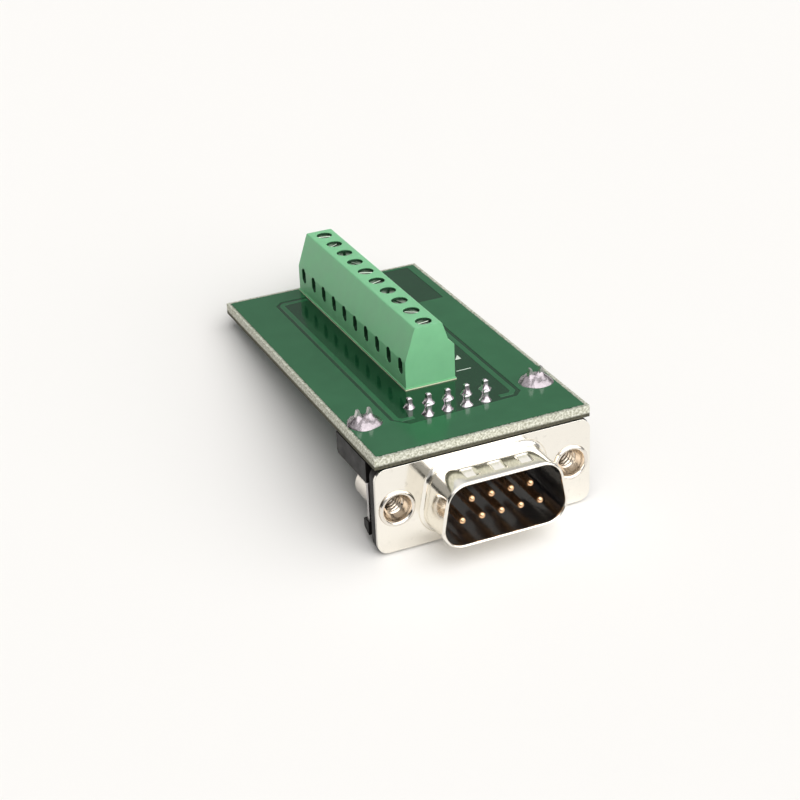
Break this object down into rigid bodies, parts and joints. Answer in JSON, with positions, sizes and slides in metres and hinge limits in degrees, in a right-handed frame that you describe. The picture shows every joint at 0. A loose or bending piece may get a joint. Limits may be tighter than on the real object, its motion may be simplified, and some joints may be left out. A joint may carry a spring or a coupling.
{
  "type": "d-sub terminal block adapter",
  "caption": "Breakout adapter board: a right-angle D-shaped pin connector under one end and a raised screw terminal block along the top.",
  "frame": {"origin": "on the connector's axis, midway between its two jack screw holes, at the front face of its flange", "axes": "-Y is the way the connector plugs in, +Y runs back along the board, +X to the right seen from the front, +Z out of the board's top"},
  "size_m": [0.0308, 0.0599, 0.0228],
  "materials": {
    "solder_mask": "satin solder mask over glass-epoxy, whitish cut edges",
    "green_nylon": "moulded, fine matt",
    "nickel_plate": "bright nickel over drawn steel",
    "nickel_insert": "bright nickel over turned steel",
    "tinned_steel": "tinned",
    "black_pbt": "moulded, satin",
    "black_insulator": "moulded, glossy",
    "solder": "bright tin solder",
    "gold_flash": "gold flash over brass",
    "tinned_brass": "tinned",
    "zinc_steel": "zinc plated",
    "nickel_brass": "nickel plated"
  },
  "bodies": {
    "adapter": {"board_lock_left": "tinned_steel", "board_lock_right": "tinned_steel", "circuit_board": "solder_mask", "contact_pin_1": "gold_flash", "contact_pin_2": "gold_flash", "contact_pin_3": "gold_flash", "contact_pin_4": "gold_flash", "contact_pin_5": "gold_flash", "contact_pin_6": "gold_flash", "contact_pin_7": "gold_flash", "contact_pin_8": "gold_flash", "contact_pin_9": "gold_flash", "front_insulator": "black_insulator", "front_shell": "nickel_plate", "lock_solder_left": "solder", "lock_solder_right": "solder", "mounting_bracket": "black_pbt", "pin_solder_joints": "solder", "rear_insulator": "black_insulator", "terminal_housing": "green_nylon", "terminal_pin_01": "tinned_brass", "terminal_pin_02": "tinned_brass", "terminal_pin_03": "tinned_brass", "terminal_pin_04": "tinned_brass", "terminal_pin_05": "tinned_brass", "terminal_pin_06": "tinned_brass", "terminal_pin_07": "tinned_brass", "terminal_pin_08": "tinned_brass", "terminal_pin_09": "tinned_brass", "terminal_pin_10": "tinned_brass", "terminal_solder_joints": "solder", "threaded_insert_left": "nickel_insert", "threaded_insert_right": "nickel_insert"},
    "clamp_cage_01": {"clamp_cage_01": "nickel_brass"},
    "clamp_cage_02": {"clamp_cage_02": "nickel_brass"},
    "clamp_cage_03": {"clamp_cage_03": "nickel_brass"},
    "clamp_cage_04": {"clamp_cage_04": "nickel_brass"},
    "clamp_cage_05": {"clamp_cage_05": "nickel_brass"},
    "clamp_cage_06": {"clamp_cage_06": "nickel_brass"},
    "clamp_cage_07": {"clamp_cage_07": "nickel_brass"},
    "clamp_cage_08": {"clamp_cage_08": "nickel_brass"},
    "clamp_cage_09": {"clamp_cage_09": "nickel_brass"},
    "clamp_cage_10": {"clamp_cage_10": "nickel_brass"},
    "clamp_screw_01": {"clamp_screw_01": "zinc_steel"},
    "clamp_screw_02": {"clamp_screw_02": "zinc_steel"},
    "clamp_screw_03": {"clamp_screw_03": "zinc_steel"},
    "clamp_screw_04": {"clamp_screw_04": "zinc_steel"},
    "clamp_screw_05": {"clamp_screw_05": "zinc_steel"},
    "clamp_screw_06": {"clamp_screw_06": "zinc_steel"},
    "clamp_screw_07": {"clamp_screw_07": "zinc_steel"},
    "clamp_screw_08": {"clamp_screw_08": "zinc_steel"},
    "clamp_screw_09": {"clamp_screw_09": "zinc_steel"},
    "clamp_screw_10": {"clamp_screw_10": "zinc_steel"}
  },
  "joints": [
    {"name": "screw_01_turn", "type": "hinge", "parent": "adapter", "child": "clamp_screw_01", "pos_m": [-0.0003, 0.01695, 0.0137], "axis": [0, 0, -1], "range_deg": [0, 1170]},
    {"name": "cage_01_lift", "type": "slide", "parent": "adapter", "child": "clamp_cage_01", "axis": [0, 0, 1], "range_m": [0, 0.0013]},
    {"name": "screw_02_turn", "type": "hinge", "parent": "adapter", "child": "clamp_screw_02", "pos_m": [-0.0003, 0.02076, 0.0137], "axis": [0, 0, -1], "range_deg": [0, 1170]},
    {"name": "cage_02_lift", "type": "slide", "parent": "adapter", "child": "clamp_cage_02", "axis": [0, 0, 1], "range_m": [0, 0.0013]},
    {"name": "screw_03_turn", "type": "hinge", "parent": "adapter", "child": "clamp_screw_03", "pos_m": [-0.0003, 0.02457, 0.0137], "axis": [0, 0, -1], "range_deg": [0, 1170]},
    {"name": "cage_03_lift", "type": "slide", "parent": "adapter", "child": "clamp_cage_03", "axis": [0, 0, 1], "range_m": [0, 0.0013]},
    {"name": "screw_04_turn", "type": "hinge", "parent": "adapter", "child": "clamp_screw_04", "pos_m": [-0.0003, 0.02838, 0.0137], "axis": [0, 0, -1], "range_deg": [0, 1170]},
    {"name": "cage_04_lift", "type": "slide", "parent": "adapter", "child": "clamp_cage_04", "axis": [0, 0, 1], "range_m": [0, 0.0013]},
    {"name": "screw_05_turn", "type": "hinge", "parent": "adapter", "child": "clamp_screw_05", "pos_m": [-0.0003, 0.03219, 0.0137], "axis": [0, 0, -1], "range_deg": [0, 1170]},
    {"name": "cage_05_lift", "type": "slide", "parent": "adapter", "child": "clamp_cage_05", "axis": [0, 0, 1], "range_m": [0, 0.0013]},
    {"name": "screw_06_turn", "type": "hinge", "parent": "adapter", "child": "clamp_screw_06", "pos_m": [-0.0003, 0.036, 0.0137], "axis": [0, 0, -1], "range_deg": [0, 1170]},
    {"name": "cage_06_lift", "type": "slide", "parent": "adapter", "child": "clamp_cage_06", "axis": [0, 0, 1], "range_m": [0, 0.0013]},
    {"name": "screw_07_turn", "type": "hinge", "parent": "adapter", "child": "clamp_screw_07", "pos_m": [-0.0003, 0.03981, 0.0137], "axis": [0, 0, -1], "range_deg": [0, 1170]},
    {"name": "cage_07_lift", "type": "slide", "parent": "adapter", "child": "clamp_cage_07", "axis": [0, 0, 1], "range_m": [0, 0.0013]},
    {"name": "screw_08_turn", "type": "hinge", "parent": "adapter", "child": "clamp_screw_08", "pos_m": [-0.0003, 0.04362, 0.0137], "axis": [0, 0, -1], "range_deg": [0, 1170]},
    {"name": "cage_08_lift", "type": "slide", "parent": "adapter", "child": "clamp_cage_08", "axis": [0, 0, 1], "range_m": [0, 0.0013]},
    {"name": "screw_09_turn", "type": "hinge", "parent": "adapter", "child": "clamp_screw_09", "pos_m": [-0.0003, 0.04743, 0.0137], "axis": [0, 0, -1], "range_deg": [0, 1170]},
    {"name": "cage_09_lift", "type": "slide", "parent": "adapter", "child": "clamp_cage_09", "axis": [0, 0, 1], "range_m": [0, 0.0013]},
    {"name": "screw_10_turn", "type": "hinge", "parent": "adapter", "child": "clamp_screw_10", "pos_m": [-0.0003, 0.05124, 0.0137], "axis": [0, 0, -1], "range_deg": [0, 1170]},
    {"name": "cage_10_lift", "type": "slide", "parent": "adapter", "child": "clamp_cage_10", "axis": [0, 0, 1], "range_m": [0, 0.0013]}
  ],
  "couplings": [
    {"joint": "screw_01_turn", "follows": "cage_01_lift", "rad_per_m": 15708},
    {"joint": "screw_02_turn", "follows": "cage_02_lift", "rad_per_m": 15708},
    {"joint": "screw_03_turn", "follows": "cage_03_lift", "rad_per_m": 15708},
    {"joint": "screw_04_turn", "follows": "cage_04_lift", "rad_per_m": 15708},
    {"joint": "screw_05_turn", "follows": "cage_05_lift", "rad_per_m": 15708},
    {"joint": "screw_06_turn", "follows": "cage_06_lift", "rad_per_m": 15708},
    {"joint": "screw_07_turn", "follows": "cage_07_lift", "rad_per_m": 15708},
    {"joint": "screw_08_turn", "follows": "cage_08_lift", "rad_per_m": 15708},
    {"joint": "screw_09_turn", "follows": "cage_09_lift", "rad_per_m": 15708},
    {"joint": "screw_10_turn", "follows": "cage_10_lift", "rad_per_m": 15708}
  ]
}
